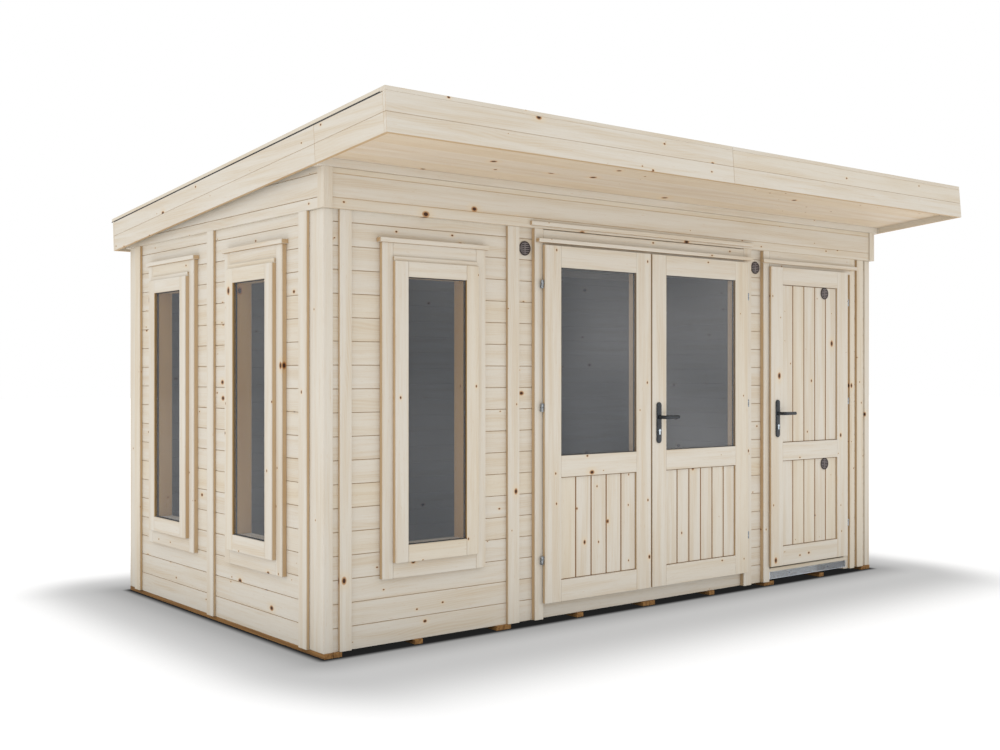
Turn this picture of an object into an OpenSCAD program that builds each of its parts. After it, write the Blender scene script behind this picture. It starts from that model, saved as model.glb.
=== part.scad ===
// Garden office pod: timber walls on bearers, a double glazed door, a store door and a mono-pitch roof.
// Layout frame: X to the right along the front, Y from the front corner posts to the rear, Z up.
// place() moves the layout so that the origin lies on the ground under the middle of the roof.

/* [Body] */
// Width over the corner posts
body_w = 4202; // [3800:1:5200]
// Depth over the corner posts
body_d = 2302; // [2200:1:3000]
// Height of the wall panels' top edge
wall_top = 2064; // [2040:1:2600]
// Height of the bearers, which is the gap under the walls
bearer_h = 24; // [20:1:60]
// Thickness of the wall panels
wall_t = 60; // [40:1:80]
// Width of a corner post on the front and rear
post_w = 50; // [40:1:60]
// Depth of a front corner post on the side
post_front_d = 128; // [100:1:140]
// Depth of a rear corner post on the side
post_back_d = 113; // [90:1:140]
// How far the front and rear cladding lies behind the post faces
clad_setback = 10; // [5:1:15]

/* [Floor] */
// Width of a single bearer
bearer_w = 47; // [40:1:60]
// How far the bearers run past the front and rear cladding
bearer_proud = 15; // [10:1:25]
// Height of the floor joists
joist_h = 45; // [35:1:60]
// Width of a floor joist
joist_w = 45; // [35:1:60]
// Number of floor joists
joist_count = 6; // [4:1:8]
// Thickness of the floor boards
floor_t = 16; // [14:1:28]

/* [Cover strips] */
// Thickness of the strips on the cladding
strip_t = 18; // [14:1:24]
// Width of the strips along the cladding
strip_w = 75; // [60:1:85]
// Width of the stiles beside the corner posts
stile_w = 63; // [50:1:70]
// Space between a corner post's edge and the stile beside it
stile_gap = 33; // [20:1:40]
// Centre of the front cover strip
front_strip_x = 1114; // [1100:1:1130]
// How far the middle strip on a side lies behind the middle of the two windows
side_strip_shift = 7; // [0:1:12]

/* [Windows] */
// Width of a window casing
casing_w = 615; // [560:1:640]
// Bottom edge of a window casing
casing_z0 = 334; // [250:1:400]
// Top edge of a window casing
casing_z1 = 1928; // [1860:1:1950]
// Thickness of a window casing, in front of the cladding
casing_t = 27; // [20:1:32]
// Width of a window sash
sash_w = 496; // [440:1:520]
// Bottom edge of a window sash
sash_z0 = 408; // [380:1:440]
// Top edge of a window sash
sash_z1 = 1842; // [1800:1:1850]
// How far a sash stands in front of the cladding
sash_proud = 50; // [40:1:60]
// Depth of a sash from front to back
sash_d = 110; // [90:1:120]
// Width of a sash's stiles
sash_stile = 74; // [60:1:85]
// Height of a sash's bottom rail
sash_rail_low = 82; // [65:1:90]
// Height of a sash's top rail
sash_rail_top = 74; // [60:1:85]
// Thickness of the glass in windows and doors
glass_t = 6; // [4:1:10]
// Glass surface behind a sash's face
glass_setback = 12; // [8:1:20]
// Centre of the front window
front_window_x = 616; // [600:1:640]
// Centre of the side window nearest the front
side_window_y1 = 654; // [640:1:660]
// Centre of the side window nearest the rear
side_window_y2 = 1648; // [1640:1:1660]

/* [Rain bars] */
// Height of a rain bar
bar_h = 22; // [16:1:26]
// How far a window rain bar runs past its casing on each side
bar_overhang = 16; // [8:1:20]
// How far a rain bar stands in front of what it is fixed to
bar_proud = 12; // [8:1:16]
// How far the bar over the double door's leaves runs past the opening on the left
leaf_bar_l = 51; // [45:1:60]
// How far it runs past the opening on the right
leaf_bar_r = 53; // [45:1:60]
// How far it stands in front of the casing
leaf_bar_proud = 30; // [26:1:34]
// Space between the leaves and the bar over them
leaf_bar_rise = 12; // [8:1:16]
// Height of the bar over the leaves
leaf_bar_h = 20; // [16:1:24]
// How far the bar on the header runs past the double door's opening on the left
header_bar_l = 91; // [80:1:100]
// How far it runs past the opening on the right
header_bar_r = 68; // [60:1:80]
// How far it stands in front of the header
header_bar_proud = 20; // [14:1:26]
// Height of its lower edge over the wall top
header_bar_rise = 12; // [8:1:16]
// How far the store door's bar runs past its opening on the left
store_bar_l = 78; // [70:1:85]
// How far it stands in front of the casing
store_bar_proud = 22; // [18:1:28]
// Space between the store leaf and the bar over it
store_bar_rise = 20; // [14:1:26]

/* [Double door] */
// Left edge of the double door opening
door_x0 = 1304; // [1290:1:1320]
// Width of the double door opening
door_w = 1593; // [1500:1:1610]
// Top edge of the double door opening
door_top = 1970; // [1900:1:1985]
// Width of the casing on the left of the opening
door_casing_l = 57; // [45:1:65]
// Width of the casing on the right of the opening
door_casing_r = 70; // [50:1:75]
// Thickness of the door casings, in front of the cladding
door_casing_t = 29; // [24:1:34]
// Bottom edge of the two leaves
leaf_z0 = 108; // [100:1:130]
// Gap between the two leaves
leaf_gap = 12; // [8:1:16]
// Middle of that gap
leaf_meet_x = 2082; // [2060:1:2110]
// How far the leaf lip covers the casing
lip = 9; // [6:1:12]
// Clearance between a leaf and its frame
clear = 5; // [5:1:6]
// Thickness of the leaf lip in front of the casing
lip_t = 20; // [16:1:24]
// Depth of a leaf behind its lip
leaf_core = 44; // [24:1:50]
// Width of a leaf's stiles
leaf_stile = 112; // [100:1:125]
// Top edge of the bottom rail
low_rail_top = 221; // [200:1:240]
// Bottom edge of the middle rail
mid_rail_z0 = 762; // [720:1:800]
// Top edge of the middle rail, where the glass starts
mid_rail_z1 = 875; // [840:1:920]
// Height of a leaf's top rail
top_rail = 113; // [90:1:125]
// How far the boarded panels lie behind the leaf's face
panel_setback = 12; // [8:1:16]
// Thickness of the boarded panels
panel_t = 18; // [14:1:22]

/* [Store door] */
// Left edge of the store door opening
store_x0 = 3138; // [3125:1:3150]
// Right edge of the store leaf
store_leaf_x1 = 3908; // [3895:1:3920]
// Bottom edge of the store leaf
store_leaf_z0 = 118; // [112:1:130]
// Top edge of the store door opening
store_top = 1960; // [1900:1:1970]
// Width of the store casing's left strip
store_casing_l = 55; // [46:1:60]
// Width of the store casing's right strip
store_casing_w = 46; // [40:1:50]
// Width of the bare jamb between the store leaf and its right casing strip
store_jamb_w = 50; // [40:1:55]
// How far the bare jamb stands in front of the cladding
jamb_proud = 12; // [8:1:16]
// Thickness of the store leaf's lip
store_lip_t = 17; // [14:1:20]
// Top edge of the store leaf's bottom rail
store_low_rail_top = 235; // [215:1:250]
// Bottom edge of the store leaf's middle rail
store_mid_z0 = 768; // [740:1:790]
// Top edge of the store leaf's middle rail
store_mid_z1 = 880; // [850:1:910]
// Height of the store leaf's top rail
store_top_rail = 107; // [90:1:120]

/* [Thresholds] */
// Top of the double door's threshold board
threshold_top = 103; // [90:1:103]
// Bottom of the store sill timber
sill_z0 = 85; // [75:1:90]
// Top of the store sill timber
sill_z1 = 106; // [100:1:107]
// Bottom of the galvanised sill plate
plate_z0 = 40; // [30:1:55]
// Thickness of the galvanised sill plate
plate_t = 2; // [1.5:0.5:4]

/* [Hardware] */
// Radius of a hinge barrel
hinge_r = 7; // [5:0.5:7]
// Length of a hinge barrel
hinge_len = 43; // [36:1:60]
// Height of the lowest, middle and highest hinges
hinge_z1 = 334; // [300:1:380]
// Height of the middle hinges
hinge_z2 = 1130; // [1000:1:1250]
// Height of the highest hinges
hinge_z3 = 1773; // [1700:1:1820]
// Space between a hinge axis and the edge of its leaf
hinge_gap = 12; // [12:1:14]
// Space between the store door's hinge axis and the edge of its leaf
store_hinge_gap = 10; // [10:1:12]
// Distance of the hinge axis behind the double leaves' face
hinge_setback = 11; // [9:1:13]
// Thickness of a hinge's flap
flap_t = 6; // [4:1:7]
// Width of a handle plate
plate_w = 36; // [28:1:42]
// Bottom of a handle plate
handle_z0 = 916; // [900:1:940]
// Top of a handle plate
handle_z1 = 1147; // [1120:1:1180]
// Height of the lever's spindle
lever_z = 1063; // [1040:1:1090]
// Reach of the lever from its spindle
lever_reach = 104; // [90:1:120]
// Radius of the lever's bar
lever_r = 8; // [6:1:10]
// Thickness of a handle plate
handle_plate_t = 9; // [7:1:12]
// Distance of the lever's bar from the leaf face
lever_off = 62; // [50:1:70]
// Radius of a lever's hub
hub_r = 11; // [9:1:14]
// Distance of the right leaf's handle from the leaf's left edge
handle_inset = 47; // [40:1:60]
// Distance of the store leaf's handle from the leaf's left edge
store_handle_inset = 56; // [45:1:65]
// Radius of the round vents
vent_r = 38; // [30:1:38]
// Thickness of the vents
vent_t = 6; // [4:1:8]
// Depth of the vents' slots
vent_slot_d = 4; // [2:1:4]
// Height of a vent's slots
vent_slot_h = 6; // [4:1:7]
// Distance between a vent's slots
vent_slot_pitch = 11; // [9:1:12]
// Width of a vent's rim
vent_rim = 7; // [5:1:8]
// How far the pier's vent lies right of the pier's middle
pier_vent_shift = 9; // [0:1:12]
// Distance of the store door's vents from its leaf's right edge
store_vent_inset = 237; // [220:1:250]
// Height of the wall vents
vent_z = 1957; // [1900:1:1980]

/* [Roof] */
// Slope of the roof in degrees
slope = 4.7; // [3.5:0.1:5]
// Distance from the front posts to the lower front edge of the roof
overhang_front = 633; // [300:1:800]
// Distance from the rear posts to the lower rear edge of the roof
overhang_back = 87; // [70:1:150]
// Distance from the side walls to the outside of the fascias
overhang_side = 70; // [60:1:90]
// Height of the ceiling over the wall top, at the outside of the rear posts
rear_rise = 34.83; // [25:0.01:60]
// Depth of the fascias, square to the slope
fascia_h = 177.5; // [160:0.5:200]
// Thickness of the fascia boards
fascia_t = 19; // [16:1:24]
// Height of the ceiling boards over the fascia's lower edge
ceiling_rise = 38; // [30:1:50]
// Thickness of the ceiling and roof boards
roof_board_t = 18; // [15:1:24]
// Number of rafters
rafter_count = 7; // [5:1:9]
// Width of a rafter
rafter_w = 45; // [38:1:60]
// Thickness of the roofing membrane
membrane_t = 2.5; // [2:0.5:4]
// How far the membrane runs past the rear fascia
membrane_tail = 22; // [18:1:40]
// Width of the edge trim on the roof
trim_w = 40; // [30:1:60]
// Top of the edge trim over the roof boards
trim_h = 20; // [15:1:30]
// How far the side trims run past the rear fascia
trim_tail = 15; // [5:1:16]
// Height of the batten between the front header and the ceiling, at the header's face
head_batten_h = 37.6; // [28:0.01:50]
// How far the corner battens and the head batten stand in front of the headers
batten_proud = 10; // [8:1:14]
// How far the corner battens and the gables reach or stop inside the posts' outer faces
batten_reach = 30; // [25:1:45]
// How far the corner battens stand out past the side walls
batten_side = 16; // [12:1:24]
// How far the gables stand out past the side walls
gable_side = 15; // [10:1:22]
// How far the headers and gables stand in front of the posts
header_proud = 19; // [12:1:22]
// Thickness of the gables
gable_t = 47; // [35:1:58]
// Width of the corner battens at the headers' ends
batten_w = 48; // [40:1:55]

/* [Hidden] */
$fn = 48;

spruce = "#d5cab4";
treated = "#9a6a3c";
glass_tint = "#5d646c";
black_metal = "#2a2d31";
silver = "#b9bdc2";
felt = "#3a3a3a";

// A thin cut that runs past both faces
eps = 1;

// Wall planes
clad_y = clad_setback;
clad_back_y = body_d - clad_setback;
inner_front_y = clad_y + wall_t;
inner_back_y = clad_back_y - wall_t;

// Roof frame: s runs down the slope from the front edge, n is square to it
roof_y0 = -overhang_front;
roof_z0 = wall_top + rear_rise + (body_d + overhang_front) * tan(slope) - ceiling_rise / cos(slope);
roof_run = body_d + overhang_front + overhang_back;
roof_len = roof_run / cos(slope);
trim_n = fascia_h + trim_h;
roof_back_y = roof_y0 + (roof_len + membrane_tail) * cos(slope) + (fascia_h + membrane_t) * sin(slope);
mid_y = (roof_y0 + roof_back_y) / 2;
// Clearance of what stands under the sloping ceiling or under the head batten
seat = 0.05;
// Height that reaches the ceiling's lower face at a given Y
function ceiling_z(y) = roof_z0 + ceiling_rise / cos(slope) - (y - roof_y0) * tan(slope) - seat;

header_top = ceiling_z(-header_proud) - head_batten_h;

// Double door
door_x1 = door_x0 + door_w;
leaf_l_x0 = door_x0 - lip;
leaf_l_x1 = leaf_meet_x - leaf_gap / 2;
leaf_r_x0 = leaf_meet_x + leaf_gap / 2;
leaf_r_x1 = door_x1 + lip;
casing_face_y = clad_y - door_casing_t;
lip_back_y = casing_face_y - clear;
leaf_face_y = lip_back_y - lip_t;
leaf_back_y = lip_back_y + leaf_core;
leaf_top = door_top + lip;
glass_y = leaf_face_y + glass_setback;
hinge_y = leaf_face_y + hinge_setback;

// Store door
store_x1 = store_leaf_x1 + clear;
store_face_y = lip_back_y - store_lip_t;
store_leaf_x0 = store_x0 - lip;
store_leaf_top = store_top + lip;
store_hinge_x = store_leaf_x1 + store_hinge_gap;
store_casing_x1 = store_x1 + store_jamb_w;
jamb_face_y = clad_y - jamb_proud;

hinge_heights = [hinge_z1, hinge_z2, hinge_z3];
knuckle_gap = 0.3;
floor_z1 = bearer_h + joist_h + floor_t;

module place() {
    translate([-body_w / 2, -mid_y, 0]) children();
}

// A box between two corners
module block(lo, hi) {
    translate(lo) cube(hi - lo);
}

// A slab in the roof frame between two corners given as [x, s, n]
module roof_block(lo, hi) {
    translate([0, roof_y0, roof_z0]) rotate([-slope, 0, 0]) block(lo, hi);
}

// A wall piece in the XZ plane, whose top follows the ceiling
module under_ceiling(x0, x1, y0, y1, z0) {
    translate([x0, 0, 0]) rotate([90, 0, 90]) linear_extrude(x1 - x0)
        polygon([[y0, z0], [y1, z0], [y1, ceiling_z(y1)], [y0, ceiling_z(y0)]]);
}

// Puts children drawn on the front (cladding at Y 0, facing -Y, X along) onto a side wall
module on_left(y) {
    translate([0, y, 0]) rotate([0, 0, -90]) children();
}

module on_right(y) {
    translate([body_w, y, 0]) rotate([0, 0, 90]) children();
}

module on_front(x) {
    translate([x, clad_y, 0]) children();
}

// A rectangular ring, centred on X 0, between depths y0 and y1
module ring(w, z0, z1, side, low, top, y0, y1) {
    difference() {
        block([-w / 2, y0, z0], [w / 2, y1, z1]);
        block([-w / 2 + side, y0 - eps, z0 + low], [w / 2 - side, y1 + eps, z1 - top]);
    }
}

module at_windows() {
    on_front(front_window_x) children();
    for (y = [side_window_y1, side_window_y2]) on_left(y) children();
}

module window_hole() {
    block([-sash_w / 2, -sash_proud, sash_z0], [sash_w / 2, wall_t + eps, sash_z1]);
}

module window_casing() {
    side = (casing_w - sash_w) / 2;
    ring(casing_w, casing_z0, casing_z1, side, sash_z0 - casing_z0, casing_z1 - sash_z1, -casing_t, 0);
}

module window_sash() {
    ring(sash_w, sash_z0, sash_z1, sash_stile, sash_rail_low, sash_rail_top, -sash_proud, sash_d - sash_proud);
}

module window_pane() {
    y0 = glass_setback - sash_proud;
    block([-sash_w / 2 + sash_stile, y0, sash_z0 + sash_rail_low],
          [sash_w / 2 - sash_stile, y0 + glass_t, sash_z1 - sash_rail_top]);
}

module window_bars() {
    half = casing_w / 2 + bar_overhang;
    block([-half, -casing_t - bar_proud, casing_z1], [half, 0, casing_z1 + bar_h]);
    block([-sash_w / 2, -casing_t - bar_proud, sash_z1], [sash_w / 2, -casing_t, sash_z1 + bar_h]);
}

// Floor
module bearers() {
    color(treated) place() {
        y0 = clad_y - bearer_proud;
        y1 = clad_back_y + bearer_proud;
        pitch = body_w / 4;
        for (i = [0:4]) {
            x = min(max(i * pitch, 2 + bearer_w), body_w - 2 - bearer_w);
            block([x - bearer_w, y0, 0], [x + bearer_w, y1, bearer_h]);
        }
        for (i = [0:3]) {
            x = (i + 0.5) * pitch;
            block([x - bearer_w / 2, y0, 0], [x + bearer_w / 2, y1, bearer_h]);
        }
    }
}

module floor_joists() {
    color(treated) place() {
        span = inner_back_y - inner_front_y - joist_w;
        for (i = [0:joist_count - 1]) {
            y = inner_front_y + i * span / (joist_count - 1);
            block([wall_t, y, bearer_h], [body_w - wall_t, y + joist_w, bearer_h + joist_h]);
        }
    }
}

module floor_boards() {
    color(spruce) place()
        block([wall_t, inner_front_y, floor_z1 - floor_t], [body_w - wall_t, inner_back_y, floor_z1]);
}

// Walls
module corner_posts() {
    color(spruce) place()
        for (x = [0, body_w - post_w]) {
            block([x, 0, bearer_h], [x + post_w, post_front_d, wall_top]);
            block([x, body_d - post_back_d, bearer_h], [x + post_w, body_d, wall_top]);
        }
}

module front_slab(x0, x1, z0, z1) {
    block([x0, clad_y, z0], [x1, inner_front_y, z1]);
}

module front_wall_left() {
    color(spruce) place() difference() {
        front_slab(post_w, door_x0, bearer_h, wall_top);
        on_front(front_window_x) window_hole();
    }
}

module front_wall_pier() {
    color(spruce) place() front_slab(door_x1, store_x0, bearer_h, wall_top);
}

module front_wall_right() {
    color(spruce) place() front_slab(store_x1, body_w - post_w, bearer_h, wall_top);
}

module door_heads() {
    color(spruce) place() {
        front_slab(door_x0, door_x1, door_top, wall_top);
        front_slab(store_x0, store_x1, store_top, wall_top);
    }
}

module side_slab(x) {
    block([x, post_front_d, bearer_h], [x + wall_t, body_d - post_back_d, wall_top]);
    // the part behind each corner post, which closes the corner
    inner = x == 0 ? post_w : x;
    block([inner, inner_front_y, bearer_h], [inner + wall_t - post_w, post_front_d, wall_top]);
    block([inner, body_d - post_back_d, bearer_h], [inner + wall_t - post_w, inner_back_y, wall_top]);
}

module left_wall() {
    color(spruce) place() difference() {
        side_slab(0);
        for (y = [side_window_y1, side_window_y2]) on_left(y) window_hole();
    }
}

module right_wall() {
    color(spruce) place() side_slab(body_w - wall_t);
}

module rear_wall() {
    color(spruce) place()
        block([post_w, inner_back_y, bearer_h], [body_w - post_w, clad_back_y, wall_top]);
}

module headers() {
    color(spruce) place() {
        x0 = batten_w - batten_side;
        block([x0, -header_proud, wall_top], [body_w - x0, inner_front_y, header_top]);
        under_ceiling(x0, body_w - x0, inner_back_y, body_d + header_proud, wall_top);
    }
}

module gables() {
    color(spruce) place()
        for (x = [-gable_side, body_w + gable_side - gable_t])
            under_ceiling(x, x + gable_t, batten_reach, body_d - batten_reach, wall_top);
}

module corner_battens() {
    color(spruce) place()
        for (x = [-batten_side, body_w + batten_side - batten_w]) {
            block([x, -header_proud - batten_proud, wall_top], [x + batten_w, batten_reach, header_top]);
            under_ceiling(x, x + batten_w, body_d - batten_reach, body_d + header_proud + batten_proud, wall_top);
        }
}

module head_batten() {
    inside = overhang_side - fascia_t - seat;
    color(spruce) place()
        under_ceiling(-inside, body_w + inside, -header_proud - batten_proud, batten_reach, header_top + seat);
}

// Strips and casings
module strip(x, w) {
    block([x, -strip_t, bearer_h], [x + w, 0, wall_top]);
}

module front_strips() {
    color(spruce) place() on_front(0) {
        strip(post_w + stile_gap, stile_w);
        strip(front_strip_x - strip_w / 2, strip_w);
        strip(body_w - post_w - stile_gap - stile_w, stile_w);
    }
}

module side_strips() {
    color(spruce) place()
        for (y = [post_front_d + strip_w / 2, (side_window_y1 + side_window_y2) / 2 + side_strip_shift,
                  body_d - post_back_d - strip_w / 2]) {
            on_left(y) strip(-strip_w / 2, strip_w);
            on_right(y) strip(-strip_w / 2, strip_w);
        }
}

module rear_strips() {
    color(spruce) place() translate([body_w, clad_back_y, 0]) rotate([0, 0, 180]) {
        strip(post_w + stile_gap, stile_w);
        for (x = [front_strip_x, body_w / 2, body_w - front_strip_x]) strip(x - strip_w / 2, strip_w);
        strip(body_w - post_w - stile_gap - stile_w, stile_w);
    }
}

module window_casings() {
    color(spruce) place() at_windows() window_casing();
}

module window_sashes() {
    color(spruce) place() at_windows() window_sash();
}

module window_glass() {
    color(glass_tint) place() at_windows() window_pane();
}

module rain_bars() {
    color(spruce) place() {
        at_windows() window_bars();
        // over the double door's leaves, on the header, and over the store door
        leaf_bar_z = leaf_top + leaf_bar_rise;
        header_bar_z = wall_top + header_bar_rise;
        store_bar_z = store_leaf_top + store_bar_rise;
        block([door_x0 - leaf_bar_l, casing_face_y - leaf_bar_proud, leaf_bar_z],
              [door_x1 + leaf_bar_r, casing_face_y, leaf_bar_z + leaf_bar_h]);
        block([door_x0 - header_bar_l, -header_proud - header_bar_proud, header_bar_z],
              [door_x1 + header_bar_r, -header_proud, header_bar_z + bar_h]);
        block([store_x0 - store_bar_l, casing_face_y - store_bar_proud, store_bar_z],
              [store_casing_x1 + store_casing_w, casing_face_y, store_bar_z + bar_h]);
    }
}

// A casing drawn as an arch of three boards round an opening
module door_arch(x0, x1, left, right, head, top) {
    difference() {
        block([x0 - left, casing_face_y, bearer_h], [x1 + right, clad_y, top]);
        block([x0, casing_face_y - eps, bearer_h - eps], [x1, clad_y + eps, head]);
    }
}

module door_casings() {
    color(spruce) place() {
        door_arch(door_x0, door_x1, door_casing_l, door_casing_r, door_top, wall_top);
        difference() {
            door_arch(store_x0, store_casing_x1, store_casing_l, store_casing_w, store_top, wall_top);
            block([store_x1, casing_face_y - eps, bearer_h], [store_casing_x1, jamb_face_y, store_top + eps]);
        }
        block([store_x1, jamb_face_y, bearer_h], [store_casing_x1, clad_y, store_top]);
    }
}

module thresholds() {
    color(spruce) place() {
        block([door_x0, clad_y, bearer_h], [door_x1, inner_front_y, threshold_top]);
        block([store_x0, casing_face_y + plate_t, plate_z0], [store_x1, inner_front_y, sill_z0]);
        block([store_x0, casing_face_y, sill_z0], [store_x1, inner_front_y, sill_z1]);
    }
}

module sill_plate() {
    color(silver) place()
        block([store_x0, casing_face_y, plate_z0], [store_x1, casing_face_y + plate_t, sill_z0]);
}

// A louvred round vent on a face at Y 0, facing -Y
module vent() {
    difference() {
        rotate([90, 0, 0]) cylinder(r = vent_r, h = vent_t);
        for (i = [-2:2]) {
            z = i * vent_slot_pitch;
            half = sqrt(pow(vent_r - vent_rim, 2) - pow(abs(z) + vent_slot_h / 2, 2));
            block([-half, -vent_t - eps, z - vent_slot_h / 2], [half, vent_slot_d - vent_t, z + vent_slot_h / 2]);
        }
    }
}

module wall_vents() {
    color("#6b625c") place() {
        left = (front_strip_x + strip_w / 2 + door_x0 - door_casing_l) / 2;
        right = (door_x1 + door_casing_r + store_x0 - store_casing_l) / 2;
        for (x = [left, right + pier_vent_shift]) translate([x, clad_y, vent_z]) vent();
    }
}

// Hinges: half a barrel on the frame, half on the leaf, on one axis
module frame_knuckle(x, z, back_y) {
    low = z - hinge_len / 2;
    translate([x, hinge_y, low]) cylinder(r = hinge_r, h = hinge_len / 2 - knuckle_gap / 2);
    block([x - flap_t / 2, hinge_y, low], [x + flap_t / 2, back_y, z - knuckle_gap / 2]);
}

// side is 1 when the leaf lies to the right of the axis
module leaf_knuckle(x, z, side, reach) {
    low = z + knuckle_gap / 2;
    translate([x, hinge_y, low]) cylinder(r = hinge_r, h = hinge_len / 2 - knuckle_gap / 2);
    block([side > 0 ? x : x - reach, hinge_y - flap_t / 2, low],
          [side > 0 ? x + reach : x, hinge_y + flap_t / 2, z + hinge_len / 2]);
}

module frame_hinges() {
    color(silver) place()
        for (z = hinge_heights) {
            frame_knuckle(leaf_l_x0 - hinge_gap, z, casing_face_y);
            frame_knuckle(leaf_r_x1 + hinge_gap, z, casing_face_y);
            frame_knuckle(store_hinge_x, z, jamb_face_y);
        }
}

module left_leaf_hinges() {
    color(silver) place() for (z = hinge_heights) leaf_knuckle(leaf_l_x0 - hinge_gap, z, 1, hinge_gap);
}

module right_leaf_hinges() {
    color(silver) place() for (z = hinge_heights) leaf_knuckle(leaf_r_x1 + hinge_gap, z, -1, hinge_gap);
}

module store_leaf_hinges() {
    color(silver) place() for (z = hinge_heights) leaf_knuckle(store_hinge_x, z, -1, store_hinge_gap);
}

// A leaf: a lip in front of the casing, a core inside the opening, and rails between its stiles
// cuts lists the holes between the rails as [z0, z1]
module leaf_frame(x0, x1, core_x0, core_x1, z0, z1, core_top, face_y, cuts) {
    difference() {
        union() {
            block([x0, face_y, z0], [x1, lip_back_y, z1]);
            block([core_x0, lip_back_y, z0], [core_x1, leaf_back_y, core_top]);
        }
        for (c = cuts)
            block([x0 + leaf_stile, face_y - eps, c[0]], [x1 - leaf_stile, leaf_back_y + eps, c[1]]);
    }
}

// A boarded panel that fills a hole in a leaf
module leaf_panel(x0, x1, face_y, cut) {
    y0 = face_y + panel_setback;
    block([x0 + leaf_stile, y0, cut[0]], [x1 - leaf_stile, y0 + panel_t, cut[1]]);
}

panel_cut = [low_rail_top, mid_rail_z0];
glass_cut = [mid_rail_z1, leaf_top - top_rail];
store_cuts = [[store_low_rail_top, store_mid_z0], [store_mid_z1, store_leaf_top - store_top_rail]];

module glazed_leaf(x0, x1, core_x0, core_x1) {
    leaf_frame(x0, x1, core_x0, core_x1, leaf_z0, leaf_top, door_top - clear, leaf_face_y, [panel_cut, glass_cut]);
    leaf_panel(x0, x1, leaf_face_y, panel_cut);
}

module leaf_glass(x0, x1) {
    block([x0 + leaf_stile, glass_y, glass_cut[0]], [x1 - leaf_stile, glass_y + glass_t, glass_cut[1]]);
}

module left_leaf() {
    color(spruce) place() glazed_leaf(leaf_l_x0, leaf_l_x1, door_x0 + clear, leaf_l_x1);
}

module right_leaf() {
    color(spruce) place() glazed_leaf(leaf_r_x0, leaf_r_x1, leaf_r_x0, door_x1 - clear);
}

module left_leaf_glass() {
    color(glass_tint) place() leaf_glass(leaf_l_x0, leaf_l_x1);
}

module right_leaf_glass() {
    color(glass_tint) place() leaf_glass(leaf_r_x0, leaf_r_x1);
}

module store_leaf() {
    color(spruce) place() {
        leaf_frame(store_leaf_x0, store_leaf_x1, store_x0 + clear, store_leaf_x1,
                   store_leaf_z0, store_leaf_top, store_top - clear, store_face_y, store_cuts);
        for (c = store_cuts) leaf_panel(store_leaf_x0, store_leaf_x1, store_face_y, c);
    }
}

module store_leaf_vents() {
    x = store_leaf_x1 - store_vent_inset;
    y = store_face_y + panel_setback;
    color("#6b625c") place() {
        translate([x, y, store_cuts[1][1] - vent_r]) vent();
        translate([x, y, store_cuts[0][1] - vent_r]) vent();
    }
}

// Handle: a long plate with round ends, and a lever on a spindle
module handle_plate(x, face_y) {
    r = plate_w / 2;
    translate([x, face_y, 0]) rotate([90, 0, 0]) {
        translate([0, handle_z0 + r, 0]) cylinder(r = r, h = handle_plate_t);
        translate([0, handle_z1 - r, 0]) cylinder(r = r, h = handle_plate_t);
        translate([-r, handle_z0 + r, 0]) cube([plate_w, handle_z1 - handle_z0 - plate_w, handle_plate_t]);
    }
}

module lever(x, face_y) {
    hub_y = face_y - handle_plate_t - knuckle_gap;
    translate([x, 0, lever_z]) {
        translate([0, hub_y, 0]) rotate([90, 0, 0]) cylinder(r = hub_r, h = lever_off - handle_plate_t + lever_r);
        translate([0, face_y - lever_off, 0]) rotate([0, 90, 0]) cylinder(r = lever_r, h = lever_reach);
    }
}

right_handle_x = leaf_r_x0 + handle_inset;
store_handle_x = store_leaf_x0 + store_handle_inset;

module right_leaf_handle_plate() {
    color(black_metal) place() handle_plate(right_handle_x, leaf_face_y);
}

module right_leaf_lever() {
    color(black_metal) place() lever(right_handle_x, leaf_face_y);
}

module store_leaf_handle_plate() {
    color(black_metal) place() handle_plate(store_handle_x, store_face_y);
}

module store_leaf_lever() {
    color(black_metal) place() lever(store_handle_x, store_face_y);
}

// Roof
roof_x0 = -overhang_side;
roof_x1 = body_w + overhang_side;
inside_x0 = roof_x0 + fascia_t;
inside_x1 = roof_x1 - fascia_t;
inside_s1 = roof_len - fascia_t;
deck_n0 = fascia_h - roof_board_t;
rafter_n0 = ceiling_rise + roof_board_t;

module roof_ceiling() {
    color(spruce) place()
        roof_block([inside_x0, fascia_t, ceiling_rise], [inside_x1, inside_s1, rafter_n0]);
}

module roof_rafters() {
    color(spruce) place()
        for (i = [0:rafter_count - 1]) {
            x = inside_x0 + i * (inside_x1 - inside_x0 - rafter_w) / (rafter_count - 1);
            roof_block([x, fascia_t, rafter_n0], [x + rafter_w, inside_s1, deck_n0]);
        }
}

module roof_deck() {
    color(spruce) place() roof_block([inside_x0, fascia_t, deck_n0], [inside_x1, inside_s1, fascia_h]);
}

module roof_membrane() {
    color(felt) place()
        roof_block([roof_x0, trim_w, fascia_h], [roof_x1, roof_len + membrane_tail, fascia_h + membrane_t]);
}

module front_fascia() {
    color(spruce) place() roof_block([roof_x0, 0, 0], [roof_x1, fascia_t, fascia_h]);
}

module side_fascias() {
    color(spruce) place()
        for (x = [roof_x0, inside_x1]) roof_block([x, fascia_t, 0], [x + fascia_t, inside_s1, fascia_h]);
}

module rear_fascia() {
    color(spruce) place() roof_block([roof_x0, inside_s1, 0], [roof_x1, roof_len, fascia_h]);
}

module edge_trims() {
    color(spruce) place() {
        roof_block([roof_x0, 0, fascia_h], [roof_x1, trim_w, trim_n]);
        for (x = [roof_x0, roof_x1 - trim_w])
            roof_block([x, trim_w, fascia_h + membrane_t], [x + trim_w, roof_len + trim_tail, trim_n]);
    }
}

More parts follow.
